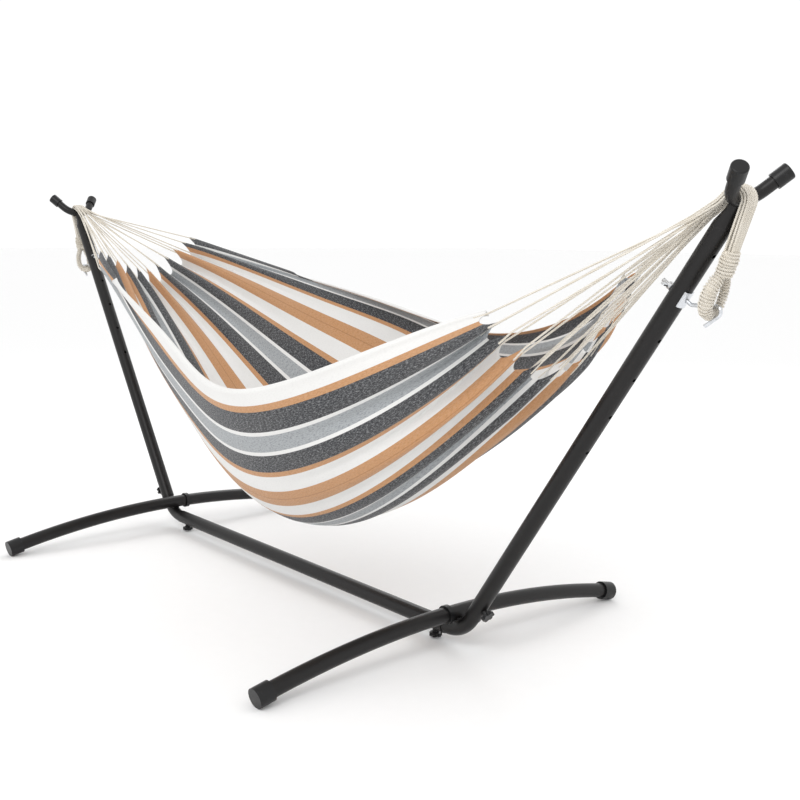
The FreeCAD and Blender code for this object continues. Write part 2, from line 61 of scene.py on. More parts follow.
look = Vector((math.sin(camera_heading) * math.cos(camera_tilt),
               math.cos(camera_heading) * math.cos(camera_tilt),
               math.sin(camera_tilt)))
level_right = Vector((math.cos(camera_heading), -math.sin(camera_heading), 0))
level_up = level_right.cross(look)
camera_right = math.cos(camera_roll) * level_right + math.sin(camera_roll) * level_up
camera_up = camera_right.cross(look)
camera = bpy.data.objects.new("camera", bpy.data.cameras.new("camera"))
camera.data.lens = camera_lens
camera.data.sensor_width = 36.0
camera.matrix_world = (Matrix.Translation(camera_place)
                       @ Matrix((camera_right, camera_up, -look)).transposed().to_4x4())
bpy.context.scene.collection.objects.link(camera)
bpy.context.scene.camera = camera


# ---- floor and lights ----
# Plain pale floor without an edge in sight, a bright even surround, and two large soft
# lamps: the main one high on the camera's side and a weaker one behind.
class Wire:
    """A shader socket that takes part in Python expressions.  Each operation adds one Math
    node, and every other node comes from the node method."""
    def __init__(self, tree, socket=None):
        self.tree = tree
        self.socket = socket

    def node(self, kind, settings=None, inputs=None, output=0):
        made = self.tree.nodes.new(kind)
        for name, value in (settings or {}).items():
            if name == "stops":
                ramp = made.color_ramp.elements
                while len(ramp) < len(value):
                    ramp.new(1.0)
                for element, (place, colour) in zip(ramp, value):
                    element.position = place
                    element.color = (*colour, 1.0)
            elif name == "interpolation":
                made.color_ramp.interpolation = value
            else:
                setattr(made, name, value)
        for key, value in (inputs or {}).items():
            if isinstance(value, Wire):
                self.tree.links.new(value.socket, made.inputs[key])
            else:
                made.inputs[key].default_value = value
        return Wire(self.tree, made.outputs[output])

    def maths(self, operation, first, second=0.0):
        return self.node("ShaderNodeMath", {"operation": operation}, {0: first, 1: second})

    def __add__(self, other):
        return self.maths("ADD", self, other)

    def __sub__(self, other):
        return self.maths("SUBTRACT", self, other)

    def __rsub__(self, other):
        return self.maths("SUBTRACT", other, self)

    def __mul__(self, other):
        return self.maths("MULTIPLY", self, other)

    def __mod__(self, other):
        return self.maths("MODULO", self, other)

    def __pow__(self, other):
        return self.maths("POWER", self, other)

    __radd__ = __add__
    __rmul__ = __mul__

    def sine(self):
        return self.maths("SINE", self)

    def size(self):
        return self.maths("ABSOLUTE", self)

    def axis(self, name):
        return self.node("ShaderNodeSeparateXYZ", None, {0: self}, "XYZ".index(name))

    def stretched(self, scale):
        return self.node("ShaderNodeMapping", None, {"Vector": self, "Scale": scale})

    def noise(self, scale, detail=2.0, roughness=0.5):
        return self.node("ShaderNodeTexNoise", None,
                         {"Vector": self, "Scale": scale, "Detail": detail,
                          "Roughness": roughness})

    def between(self, low, high):
        """0 under low, 1 over high, straight in between."""
        return self.node("ShaderNodeMapRange", {"clamp": True},
                         {"Value": self, "From Min": low, "From Max": high})

    def colour(self, low, high):
        """Colour that goes from low to high as this value goes from 0 to 1."""
        ends = [side if isinstance(side, Wire) else (*side, 1.0) for side in (low, high)]
        return self.node("ShaderNodeMix", {"data_type": "RGBA"},
                         {0: self, 6: ends[0], 7: ends[1]}, 2)

    def bump(self, depth, strength=1.0, under=None):
        inputs = {"Height": self, "Distance": depth, "Strength": strength}
        if under is not None:
            inputs["Normal"] = under
        return self.node("ShaderNodeBump", None, inputs)


def new_material(name):
    material = bpy.data.materials.new(name)
    material.use_nodes = True
    return material, Wire(material.node_tree)


def set_surface(material, **sockets):
    """Sets the shader's sockets, named with _ for a space, to values or wires."""
    shader = material.node_tree.nodes["Principled BSDF"]
    for name, value in sockets.items():
        socket = shader.inputs[name.replace("_", " ")]
        if isinstance(value, Wire):
            material.node_tree.links.new(value.socket, socket)
        elif isinstance(value, tuple):
            socket.default_value = (*value, 1.0)
        else:
            socket.default_value = value


def object_place(wire):
    return wire.node("ShaderNodeTexCoord", output="Object")


floor_half = 60.0
floor_light = (0.94, 0.94, 0.94)
floor_dark = (0.92, 0.92, 0.92)
paper_scale = 30.0
surround_strength = 1.05
floor_mesh = bpy.data.meshes.new("floor")
floor_mesh.from_pydata([(-floor_half, -floor_half, 0), (floor_half, -floor_half, 0),
                        (floor_half, floor_half, 0), (-floor_half, floor_half, 0)],
                       [], [(0, 1, 2, 3)])
floor = bpy.data.objects.new("floor", floor_mesh)
bpy.context.scene.collection.objects.link(floor)
floor_finish, wire = new_material("floor_paper")
paper_grain = object_place(wire).noise(paper_scale, 3.0)
set_surface(floor_finish, Base_Color=paper_grain.colour(floor_dark, floor_light), Roughness=0.9)
floor_mesh.materials.append(floor_finish)

world = bpy.data.worlds.new("surround")
world.use_nodes = True
world.node_tree.nodes["Background"].inputs["Color"].default_value = (1.0, 1.0, 1.0, 1.0)
world.node_tree.nodes["Background"].inputs["Strength"].default_value = surround_strength
bpy.context.scene.world = world
bpy.context.scene.view_settings.view_transform = "Standard"

for name, place, aim, size, power in (
        ("main_lamp", (2.4, -3.4, 3.6), (0, 0, 0.5), 2.2, 70.0),
        ("back_lamp", (-2.6, 2.6, 3.2), (0, 0, 0.6), 2.0, 35.0)):
    lamp_data = bpy.data.lights.new(name, "AREA")
    lamp_data.size = size
    lamp_data.energy = power
    lamp = bpy.data.objects.new(name, lamp_data)
    lamp.location = place
    lamp.rotation_euler = (Vector(aim) - Vector(place)).to_track_quat("-Z", "Y").to_euler()
    bpy.context.scene.collection.objects.link(lamp)


# ---- painted steel: beam, elbows, uprights, yokes, foot bars, welds and weld nuts ----
# Round steel tubes with a satin black powder coat, whose fine orange-peel texture catches
# the light.  The tubes slide into each other or are welded, and the coat covers the welds.
coat_dark = (0.006, 0.0055, 0.0055)
coat_light = (0.012, 0.011, 0.011)
coat_scuffed = (0.032, 0.030, 0.029)
coat_on_weld = (0.010, 0.009, 0.009)
coat_specular = 0.3
cloud_scale = 5.0
peel_scale = 620.0
peel_depth = 0.00035
speckle_scale = 1500.0
speckle_depth = 0.00008
scuff_scale = 70.0
ripple_scale = 55.0
ripple_depth = 0.0012


def dress(node, material):
    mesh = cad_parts[node].data
    mesh.materials.clear()
    mesh.materials.append(material)


def both_ends(name):
    return [name + "_right", name + "_left"]


powder_coat, wire = new_material("powder_coat")
place = object_place(wire)
cloudy = place.noise(cloud_scale, 3.0)
peel = place.noise(peel_scale, 2.0, 0.6)
speckle = place.noise(speckle_scale, 1.0)
scuffs = place.stretched((0.35, 1.0, 1.0)).noise(scuff_scale, 5.0, 0.7).between(0.66, 0.74)
set_surface(powder_coat,
            Base_Color=(scuffs * 0.5).colour(cloudy.colour(coat_dark, coat_light), coat_scuffed),
            Roughness=0.27 + cloudy * 0.16 + scuffs * 0.12,
            Specular_IOR_Level=coat_specular,
            Normal=speckle.bump(speckle_depth, 0.5, peel.bump(peel_depth, 0.55)))

weld_bead, wire = new_material("coated_weld")
place = object_place(wire)
ripples = place.node("ShaderNodeTexWave", {"bands_direction": "Y"},
                     {"Vector": place, "Scale": ripple_scale, "Distortion": 3.0, "Detail": 1.0})
set_surface(weld_bead, Base_Color=coat_on_weld, Roughness=0.42,
            Specular_IOR_Level=coat_specular,
            Normal=ripples.bump(ripple_depth, 0.8))

dress("base_beam", powder_coat)
for name in ("elbow", "upright", "yoke", "foot_tube_long", "foot_tube_short",
             "beam_weld_nut", "upright_weld_nut"):
    for node in both_ends(name):
        dress(node, powder_coat)
for node in both_ends("foot_weld"):
    dress(node, weld_bead)


# ---- moulded plastic: tube caps, joint rings and clamp knobs ----
# Black injection-moulded parts with a fine spark-eroded grain.  The caps push over the
# tube ends, the rings cover the foot bars' joints and the knobs are moulded on their screws.
plastic_dark = (0.006, 0.006, 0.0065)
plastic_rubbed = (0.032, 0.032, 0.034)
grain_scale = 900.0
grain_depth = 0.0002
flow_scale = 12.0
rub_scale = 48.0

black_plastic, wire = new_material("moulded_plastic")
place = object_place(wire)
eroded = place.noise(grain_scale, 2.0, 0.7)
flow = place.noise(flow_scale, 2.0)
rubbed = place.noise(rub_scale, 4.0, 0.65).between(0.6, 0.72)
set_surface(black_plastic,
            Base_Color=(rubbed * 0.35).colour(plastic_dark, plastic_rubbed),
            Specular_IOR_Level=0.35,
            Roughness=0.28 + flow * 0.14 + rubbed * 0.1,
            Normal=eroded.bump(grain_depth, 0.45))
for name in ("foot_joint_ring", "foot_cap_near", "foot_cap_far", "yoke_cap_near",
             "yoke_cap_far", "beam_knob", "upright_knob"):
    for node in both_ends(name):
        dress(node, black_plastic)


# ---- zinc-plated hardware: hooks, saddle plates, wing nuts and clamp screws ----
# Bright zinc over bent rod, pressed plate and cast nuts.  Each hook's threaded shank goes
# through the plate and the upright, and the wing nut pulls it tight from inside.
zinc_clean = (0.68, 0.70, 0.73)
zinc_tarnished = (0.42, 0.42, 0.41)
spangle_scale = 260.0
tarnish_scale = 60.0
draw_line_scale = 420.0
draw_line_depth = 0.0001

zinc, wire = new_material("bright_zinc")
place = object_place(wire)
spangle = place.node("ShaderNodeTexVoronoi", None, {"Vector": place, "Scale": spangle_scale})
drawn = place.stretched((1.0, 1.0, 0.15)).noise(draw_line_scale, 3.0)
tarnish = place.noise(tarnish_scale, 4.0, 0.6).between(0.5, 0.75)
set_surface(zinc, Metallic=1.0,
            Base_Color=(tarnish * 0.6).colour(zinc_clean, zinc_tarnished),
            Roughness=0.2 + spangle * 0.12 + tarnish * 0.2,
            Normal=drawn.bump(draw_line_depth, 0.4))
for name in ("hook", "hook_saddle", "wing_nut", "beam_knob_screw", "upright_knob_screw"):
    for node in both_ends(name):
        dress(node, zinc)


# ---- hammock cloth ----
# One piece of heavy plain-weave cotton with lengthwise stripes.  Both ends are gathered in
# deep pleats, with a cord sewn into the tip of every fold; the far edge turns over outwards
# and the near edge is softly rolled.
cloth_length = 2.06
cloth_thickness = 0.0016
edge_band = 0.056               # off-white stripe at each long edge
tan_line = 0.017
charcoal = 0.054
white_line = 0.011
grey = 0.047
tan_band = 0.068
group = 2 * (tan_line + charcoal + white_line) + grey
repeat = 2 * edge_band + group + tan_band
cloth_width = 4 * (group + 2 * edge_band) + 3 * tan_band
near_roll = 0.020
far_turn = edge_band
far_gap = 0.004                 # between the turned-over band and the cloth inside it
cords_per_end = 22
tip_pitch = 0.0648              # cloth from one cord to the next
tip_first = 0.0352              # first cord from the near edge
tip_depth = 0.030               # how far the cloth between two tips stays back
valley_depth = 0.036            # how far the tips in the pleats' valleys stay back
pleat_height = 0.027
pleat_run = 0.80                # the pleats flatten out over this length
pull_run = 0.13                 # the steeper end's pleats are pulled flatter over this length
pull_share = 0.5                # how flat they are pulled at their tips
fade_power_left = 1.7
fade_power_right = 1.9
crease_counts = (23, 31, 47, 64)    # lengthwise creases, in sets that run over one another
crease_height = 0.0016          # of a set with as many creases as the next value
crease_usual_count = 18.0
crease_turn = 6.28              # radians from one crease to the next
crease_lean = 0.6               # most that a set leans to one side along the cloth
crease_everywhere = 0.12
crease_at_ends = 1.2
sag_height = 0.004
roll_radius_ends = 0.003        # of the near edge's roll
roll_radius_more = 0.006        # and so much more in the middle of the length
steps_per_tip = 12
steps_along = 150
steps_even_share = 0.55         # the rest of the steps are closer together at the ends

yoke_radius = 0.013
yoke_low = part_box("yoke_right")[0]
yoke_axis = Vector((yoke_low.x + yoke_radius, 0, yoke_low.z + yoke_radius))
cloth_left_setback = 0.455
cloth_right_setback = 0.385
# Five lengthwise lines of the cloth, near edge to far edge: percentage of the length, place
# across and drop below the yoke's axis.
cloth_lines = [
    [(0, -0.145, 0.155), (17, -0.215, 0.250), (36, -0.290, 0.343), (53, -0.375, 0.420),
     (69, -0.420, 0.430), (86, -0.360, 0.327), (101.4, -0.240, 0.217)],
    [(0, -0.080, 0.185), (17, -0.150, 0.335), (34, -0.225, 0.520), (51, -0.275, 0.670),
     (67, -0.285, 0.720), (85, -0.235, 0.555), (101.4, -0.165, 0.280)],
    [(0, 0.030, 0.210), (17, 0.030, 0.390), (34, 0.0, 0.575), (51, -0.030, 0.745),
     (67, -0.040, 0.790), (85, -0.040, 0.600), (100.5, 0.0, 0.323)],
    [(0, 0.140, 0.155), (17, 0.200, 0.255), (34, 0.260, 0.375), (51, 0.300, 0.485),
     (67, 0.290, 0.555), (85, 0.245, 0.455), (98.4, 0.180, 0.206)],
    [(0, 0.220, 0.115), (16, 0.290, 0.172), (35, 0.340, 0.235), (51, 0.365, 0.294),
     (68, 0.365, 0.333), (84, 0.335, 0.280), (97.9, 0.280, 0.121)],
]


def smooth_through(points, at):
    """Cubic curve through evenly spaced points, at places from 0 to the last point's number."""
    count = len(points)
    system = np.eye(count)
    pull = np.zeros_like(points)
    for row in range(1, count - 1):
        system[row, row - 1:row + 2] = (1, 4, 1)
        pull[row] = 6 * (points[row - 1] - 2 * points[row] + points[row + 1])
    system[0, :3] = (1, -2, 1)
    system[-1, -3:] = (1, -2, 1)
    bend = np.linalg.solve(system, pull)
    span = np.clip(np.floor(at).astype(int), 0, count - 2)
    after = (at - span)[:, None]
    before = 1 - after
    return (before * points[span] + after * points[span + 1]
            + ((before ** 3 - before) * bend[span] + (after ** 3 - after) * bend[span + 1]) / 6)


def cloth_surface(across, along):
    """Points of the unpleated cloth: across runs 0 to 1 row by row, along is one row of 0 to 1
    for each of them."""
    left = -yoke_axis.x + cloth_left_setback
    right = yoke_axis.x - cloth_right_setback
    lines = np.array([[(left + (right - left) * percent / 100, y, yoke_axis.z - drop)
                       for percent, y, drop in line] for line in cloth_lines])
    count_across, count_along = lines.shape[:2]
    sheet = np.empty(along.shape + (3,))
    weights = smooth_through(np.eye(count_across), across * (count_across - 1))
    for row, weight in enumerate(weights):
        guide = np.tensordot(weight, lines, 1)
        sheet[row] = smooth_through(guide, along[row] * (count_along - 1))
    return sheet


def unit(vectors):
    return vectors / np.linalg.norm(vectors, axis=-1, keepdims=True)


def rolled(rim, tangent, normal, past, radius):
    """Cloth that turns over at a rim: past is how much of it lies beyond the rim."""
    past = past[:, None, None]
    radius = radius[None, :, None]
    turn = np.minimum(past / radius, math.pi)
    beyond = np.maximum(past - math.pi * radius, 0)
    return (rim + radius * (1 - np.cos(turn)) * normal
            + (radius * np.sin(turn) - beyond) * tangent)


def pleated_cloth():
    """Cloth points as rows across and columns along, and their places on the flat cloth."""
    # Every fold has the same number of rows, so that each cord meets the cloth on a row.
    row_pitch = tip_pitch / steps_per_tip
    first_row = -math.floor(tip_first / row_pitch)
    last_row = math.floor((cloth_width - tip_first) / row_pitch)
    flat = tip_first + row_pitch * np.arange(first_row, last_row + 1)
    flat = np.unique(np.concatenate([[0.0], flat, [cloth_width]]))
    across = np.clip((flat - near_roll) / (cloth_width - near_roll - far_turn), 0, 1)
    tip_last = tip_first + tip_pitch * (cords_per_end - 1)
    # The phase grows by half a turn from one cord to the next, and the fold by a quarter.
    phase = math.pi * (np.clip(flat, tip_first, tip_last) - tip_first) / tip_pitch
    fold = phase / 2
    # Between two cords, and in the valleys, the cloth stays back from the end.
    back = (tip_depth * np.abs(np.sin(phase)) + valley_depth * np.cos(fold) ** 2) / cloth_length
    ease = np.linspace(0, 1, steps_along)
    ease = (steps_even_share * ease
            + (1 - steps_even_share) * (1 - np.cos(math.pi * ease)) / 2)
    along = back[:, None] + (1 - 2 * back)[:, None] * ease[None, :]
    sheet = cloth_surface(across, along)

    # Directions across and along the cloth, and square to it.
    step = 0.004
    inner = np.clip(across, step, 1 - step)
    tangent = unit(cloth_surface(inner + step, along) - cloth_surface(inner - step, along))
    ahead = unit(np.gradient(sheet, axis=1))
    normal = unit(np.cross(ahead, tangent))

    # Pleats are high at the two ends and fade out towards the middle.
    from_left = along * cloth_length
    from_right = (1 - along) * cloth_length
    fade_left = np.clip(1 - from_left / pleat_run, 0, 1) ** fade_power_left
    fade_right = np.clip(1 - from_right / pleat_run, 0, 1) ** fade_power_right
    finger = (np.abs(np.sin(fold)) - 0.5 - 0.5 * np.cos(phase))[:, None]
    pull_right = 1 - pull_share + pull_share * np.clip(from_right / pull_run, 0, 1)
    pleat = pleat_height * finger * (fade_left - fade_right * pull_right)
    # Creases run lengthwise, stronger at the ends and in slanting patches.
    chance = np.random.default_rng(7)
    crease = np.zeros_like(pleat)
    for count in crease_counts:
        shift, lean, weight = chance.uniform((0, -crease_lean, 0.5),
                                             (crease_turn, crease_lean, 1.0))
        ridge = np.sin(count * flat[:, None] / cloth_width * crease_turn + shift
                       + lean * 6 * along)
        crease += weight * ridge * (crease_usual_count / count) * crease_height
    patch = 0.5 + 0.5 * np.sin(9 * flat[:, None] + 5 * along + 1.0)
    crease *= crease_everywhere + crease_at_ends * (fade_left + fade_right) * patch
    # A slow unevenness, which dies away at all four edges.
    sag = sag_height * np.sin(5.1 * along * math.pi + 2.2 * flat[:, None] * math.pi)
    sag *= np.sin(math.pi * along) * np.sin(math.pi * flat / cloth_width)[:, None]
    sheet = sheet + normal * (pleat + crease + sag)[..., None]

    # The near edge rolls over, and the far band lies folded back against the wall.
    middle_share = np.sin(math.pi * ease) ** 0.6
    near_past = np.maximum(near_roll - flat, 0)
    far_past = np.maximum(flat - (cloth_width - far_turn), 0)
    near_rows = near_past > 0
    far_rows = far_past > 0
    near_rim = np.argmax(~near_rows)
    far_rim = len(flat) - 1 - np.argmax(~far_rows[::-1])
    sheet[near_rows] = rolled(sheet[near_rim], -tangent[near_rim], normal[near_rim],
                              near_past[near_rows],
                              roll_radius_ends + roll_radius_more * middle_share)
    mirrored = 2 * far_rim - np.arange(far_rim + 1, len(flat))
    apart = np.minimum(far_past[far_rows], far_gap)[:, None, None]
    sheet[far_rows] = sheet[mirrored] - normal[mirrored] * apart
    return sheet, flat, along


def new_piece(name, mesh, *materials):
    piece = bpy.data.objects.new(name, mesh)
    for material in materials:
        mesh.materials.append(material)
    bpy.context.scene.collection.objects.link(piece)
    return piece


cloth_points, cloth_flat, cloth_along = pleated_cloth()
rows, columns = cloth_points.shape[:2]
faces = [(r * columns + c, r * columns + c + 1, (r + 1) * columns + c + 1, (r + 1) * columns + c)
         for r in range(rows - 1) for c in range(columns - 1)]
cloth_mesh = bpy.data.meshes.new("hammock_cloth")
cloth_mesh.from_pydata(cloth_points.reshape(-1, 3).tolist(), [], faces)
weave_map = cloth_mesh.uv_layers.new(name="weave")
corners = np.empty(len(cloth_mesh.loops), int)
cloth_mesh.loops.foreach_get("vertex_index", corners)
flat_places = np.stack([np.repeat(cloth_flat, columns),
                        (cloth_along * cloth_length).reshape(-1)], axis=1)
weave_map.data.foreach_set("uv", flat_places[corners].astype(np.float32).reshape(-1))
cloth_mesh.polygons.foreach_set("use_smooth", [True] * len(faces))

striped_cotton, wire = new_material("striped_cotton")
weave = wire.node("ShaderNodeUVMap", {"uv_map": "weave"})
over = weave.axis("X") % repeat
white = (0.78, 0.775, 0.76)
tan = (0.53, 0.275, 0.125)
dark = (0.035, 0.037, 0.042)
light_grey = (0.36, 0.38, 0.395)
light_fleck = (0.62, 0.63, 0.64)
dark_fleck = (0.02, 0.02, 0.024)
# painted shade: brown of a dark line down the middle of each tan band, standing in for a fold's
# shadow
fold_shadow_brown = (0.22, 0.09, 0.035)
worn_shade = (0.30, 0.28, 0.26)
# Stripes across the cloth in order: width, colour and how flecked the yarn is.
bands = [(edge_band, white, 0.1), (tan_line, tan, 0.35), (charcoal, dark, 1.0),
         (white_line, white, 0.1), (grey, light_grey, 0.7), (white_line, white, 0.1),
         (charcoal, dark, 1.0), (tan_line, tan, 0.35), (edge_band, white, 0.1),
         (tan_band, tan, 0.35)]
colour_stops = []
fleck_stops = []
reached = 0.0
for width, colour, flecks in bands:
    colour_stops.append((reached / repeat, colour))
    fleck_stops.append((reached / repeat, (flecks, flecks, flecks)))
    reached += width
stripes = over.node("ShaderNodeValToRGB", {"interpolation": "CONSTANT", "stops": colour_stops},
                    {"Fac": over * (1 / repeat)})
flecked = over.node("ShaderNodeValToRGB", {"interpolation": "CONSTANT", "stops": fleck_stops},
                    {"Fac": over * (1 / repeat)})
fleck_share = flecked.node("ShaderNodeRGBToBW", None, {0: flecked})
warp_flecks = weave.stretched((430.0, 120.0, 1.0)).noise(1.0, 2.0, 0.7)
weft_flecks = weave.stretched((150.0, 400.0, 1.0)).noise(1.0, 2.0, 0.7)
soft_shade = weave.stretched((9.0, 3.0, 1.0)).noise(1.0, 3.0)
light_flecks = (warp_flecks.between(0.50, 0.70) * 0.34
                + weft_flecks.between(0.53, 0.72) * 0.26) * fleck_share
dark_flecks = (1 - warp_flecks.between(0.34, 0.50)) * fleck_share * 0.6
# A thin dark line down the middle of each tan band is a painted shadow of a fold.
fold_shadow_middle = repeat - tan_band / 2
fold_shadow_half = 0.0012
fold_shadow_blur = 0.0022
painted_fold_shadow = 1 - (over - fold_shadow_middle).size().between(fold_shadow_half, fold_shadow_blur)
yarn = 0.0013
yarn_depth = 0.0005
shade_depth = 0.004
warp = (weave.axis("X") * (math.pi / yarn)).sine().size()
weft = (weave.axis("Y") * (math.pi / yarn)).sine().size()
weave_height = warp * 0.6 + weft * 0.6
colour = light_flecks.colour(stripes, light_fleck)
colour = dark_flecks.colour(colour, dark_fleck)
# Painted fold shadow mixed into the colour.
colour = (painted_fold_shadow * 0.35).colour(colour, fold_shadow_brown)
colour = (soft_shade.between(0.35, 0.75) * 0.10).colour(colour, worn_shade)
set_surface(striped_cotton, Base_Color=colour,
            Roughness=0.86 + soft_shade * 0.1,
            Specular_IOR_Level=0.2,
            Sheen_Weight=0.25,
            Sheen_Roughness=0.45,
            Normal=weave_height.bump(yarn_depth, 0.5, soft_shade.bump(shade_depth, 0.25)))

cloth = new_piece("hammock_cloth", cloth_mesh, striped_cotton)
shell = cloth.modifiers.new("cloth_thickness", "SOLIDIFY")
shell.thickness = cloth_thickness
shell.offset = 0.0
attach(cloth, "hammock")
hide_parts("hammock_bed")


# ---- harness cords ----
# A twisted cotton cord leaves the tip of every fold, and all cords of an end run together over
# the yoke and down outside it to the whipping.  Each cord is laid from three strands.
cord_diameter = 0.0050
cord_lay = 0.013                # length of one twist
cord_step = 0.0028
cord_groove = 0.17              # depth of the grooves between strands, as a share
cord_strands = 3.0
cord_sides = 12


def cord_maker():
    """Geometry Nodes tree that lays a twisted three-strand cord along every given path."""
    tree = bpy.data.node_groups.new("twisted_cord", "GeometryNodeTree")
    face = tree.interface
    face.new_socket("Paths", in_out="INPUT", socket_type="NodeSocketGeometry")
    for name in ("Diameter", "Lay", "Step", "Groove"):
        face.new_socket(name, in_out="INPUT", socket_type="NodeSocketFloat")
    face.new_socket("Finish", in_out="INPUT", socket_type="NodeSocketMaterial")
    face.new_socket("Cords", in_out="OUTPUT", socket_type="NodeSocketGeometry")
    given = tree.nodes.new("NodeGroupInput")
    result = tree.nodes.new("NodeGroupOutput")

    def add(kind, settings=None, links=None):
        node = tree.nodes.new(kind)
        for name, value in (settings or {}).items():
            setattr(node, name, value)
        for key, value in (links or {}).items():
            if isinstance(value, bpy.types.NodeSocket):
                tree.links.new(value, node.inputs[key])
            else:
                node.inputs[key].default_value = value
        return node

    def maths(operation, first, second=0.0):
        return add("ShaderNodeMath", {"operation": operation}, {0: first, 1: second}).outputs[0]

    # The path, with even steps and one whole turn for each lay.
    route = add("GeometryNodeMeshToCurve", None, {"Mesh": given.outputs["Paths"]})
    even = add("GeometryNodeResampleCurve", {"mode": "LENGTH"},
               {"Curve": route.outputs[0], "Length": given.outputs["Step"]})
    run = add("GeometryNodeSplineParameter").outputs["Length"]
    turns = maths("DIVIDE", run, given.outputs["Lay"])
    tilted = add("GeometryNodeSetCurveTilt", None,
                 {"Curve": even.outputs[0], "Tilt": maths("MULTIPLY", turns, math.tau)})
    marked = add("GeometryNodeStoreNamedAttribute", {"data_type": "FLOAT", "domain": "POINT"},
                 {"Geometry": tilted.outputs[0], "Name": "along", "Value": run})

    # The cross-section: a circle with a groove between neighbouring strands.
    ring = add("GeometryNodeCurvePrimitiveCircle", {"mode": "RADIUS"}, {"Resolution": cord_sides})
    tree.links.new(maths("MULTIPLY", given.outputs["Diameter"], 0.5), ring.inputs["Radius"])
    round_share = add("GeometryNodeSplineParameter").outputs["Factor"]
    angle = maths("MULTIPLY", round_share, math.tau)
    lobe = maths("COSINE", maths("MULTIPLY", angle, cord_strands))
    dent = maths("MULTIPLY", maths("SUBTRACT", lobe, 1.0), given.outputs["Groove"])
    position = add("GeometryNodeInputPosition").outputs[0]
    lobed = add("ShaderNodeVectorMath", {"operation": "SCALE"},
                {0: position, "Scale": maths("ADD", dent, 1.0)})
    profile = add("GeometryNodeSetPosition", None,
                  {"Geometry": ring.outputs[0], "Position": lobed.outputs[0]})
    circle_place = add("ShaderNodeCombineXYZ", None,
                       {0: maths("COSINE", angle), 1: maths("SINE", angle), 2: lobe})
    marked_ring = add("GeometryNodeStoreNamedAttribute",
                      {"data_type": "FLOAT_VECTOR", "domain": "POINT"},
                      {"Geometry": profile.outputs[0], "Name": "round",
                       "Value": circle_place.outputs[0]})
    # The cords as one mesh with their material.
    cords = add("GeometryNodeCurveToMesh", None,
                {"Curve": marked.outputs[0], "Profile Curve": marked_ring.outputs[0],
                 "Fill Caps": True})
    smooth = add("GeometryNodeSetShadeSmooth", None, {"Geometry": cords.outputs[0]})
    real = add("GeometryNodeRealizeInstances", None, {"Geometry": smooth.outputs[0]})
    finish = add("GeometryNodeSetMaterial", None,
                 {"Geometry": real.outputs[0], "Material": given.outputs["Finish"]})
    tree.links.new(finish.outputs[0], result.inputs[0])
    return tree


cord_tree = cord_maker()


def lay_cords(name, routes, material, diameter, step=cord_step):
    """Plain mesh of twisted cords along routes, each a list of points."""
    points = [tuple(point) for route in routes for point in route]
    edges = []
    start = 0
    for route in routes:
        edges += [(start + i, start + i + 1) for i in range(len(route) - 1)]
        start += len(route)
    mesh = bpy.data.meshes.new(name + "_routes")
    mesh.from_pydata(points, edges, [])
    maker = bpy.data.objects.new(name + "_maker", mesh)
    bpy.context.scene.collection.objects.link(maker)
    modifier = maker.modifiers.new("cords", "NODES")
    modifier.node_group = cord_tree
    values = {"Diameter": diameter, "Lay": cord_lay, "Step": step, "Groove": cord_groove,
              "Finish": material}
    for socket in cord_tree.interface.items_tree:
        if socket.name in values:
            modifier[socket.identifier] = values[socket.name]
    graph = bpy.context.evaluated_depsgraph_get()
    made = bpy.data.meshes.new_from_object(maker.evaluated_get(graph), depsgraph=graph)
    made.name = name
    bpy.data.objects.remove(maker)
    return made


cord_clean = (0.84, 0.80, 0.72)
cord_soiled = (0.75, 0.70, 0.60)
# painted shade: the brown that the grooves between the strands are darkened to
painted_groove_shade = (0.34, 0.27, 0.20)
fuzz_scale = 1400.0
fuzz_depth = 0.0004
soiling_scale = 26.0
fibre_turn = 9.0                # fibres lie at a slant round and along the cord
fibre_run = 5200.0
fibre_depth = 0.00025

cotton_cord, wire = new_material("cotton_cord")
run = wire.node("ShaderNodeAttribute", {"attribute_name": "along"}, None, "Fac")
round_place = wire.node("ShaderNodeAttribute", {"attribute_name": "round"}, None, "Vector")
turn = round_place.maths("ARCTAN2", round_place.axis("Y"), round_place.axis("X"))
# Painted shade: the base colour darkens towards a brown deep in the grooves between the strands,
# where shade would fall.
groove_depth = (1 - round_place.axis("Z")) * 0.5
fibre = (turn * fibre_turn + run * fibre_run).sine()
place = object_place(wire)
fuzz = place.noise(fuzz_scale, 3.0, 0.7)
soiling = place.noise(soiling_scale, 3.0).between(0.4, 0.8)
cream = soiling.colour(cord_clean, cord_soiled)
set_surface(cotton_cord,
            Base_Color=((groove_depth ** 3.0) * 0.85).colour(cream, painted_groove_shade),
            Roughness=0.88 + fuzz * 0.1,
            Specular_IOR_Level=0.2,
            Sheen_Weight=0.2,
            Normal=fuzz.bump(fuzz_depth, 0.5, (fibre * 0.5).bump(fibre_depth, 0.6)))

cord_layers = 3
layer_pitch = 0.0050
bundle_width = 0.034            # between the first and the last cord's middles
bundle_radius = 0.0225          # middle of the bundle from the yoke's axis
gather_run = 0.045              # the cords lie side by side from here to the yoke
sewn_columns = 4                # the cord lies in the cloth over this many columns
lift_jitter = 0.0009
side_jitter = 0.0006
gather_shares = (0.25, 0.5, 0.75, 0.92)
down_shares = (0.25, 0.5, 0.75, 1.0)
turn_steps = 9                  # points of a route round the yoke
whip_thickening = 0.5           # the bundle gets deeper and narrower down to the whipping
whip_narrowing = 0.35

whip_low, whip_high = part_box("rope_whipping_right")
whip_middle = (whip_low + whip_high) / 2
to_whip = whip_middle - yoke_axis
leave_angle = (math.atan2(to_whip.z, to_whip.x)
               + math.acos(bundle_radius / to_whip.length))


def spoke(angle):
    return Vector((math.cos(angle), 0, math.sin(angle)))


leave_point = yoke_axis + spoke(leave_angle) * bundle_radius
rope_down = (whip_middle - leave_point).normalized()
rope_out = spoke(leave_angle)
sideways = Vector((0, 1, 0))


def half_turn(point):
    return Vector((-point.x, -point.y, point.z))


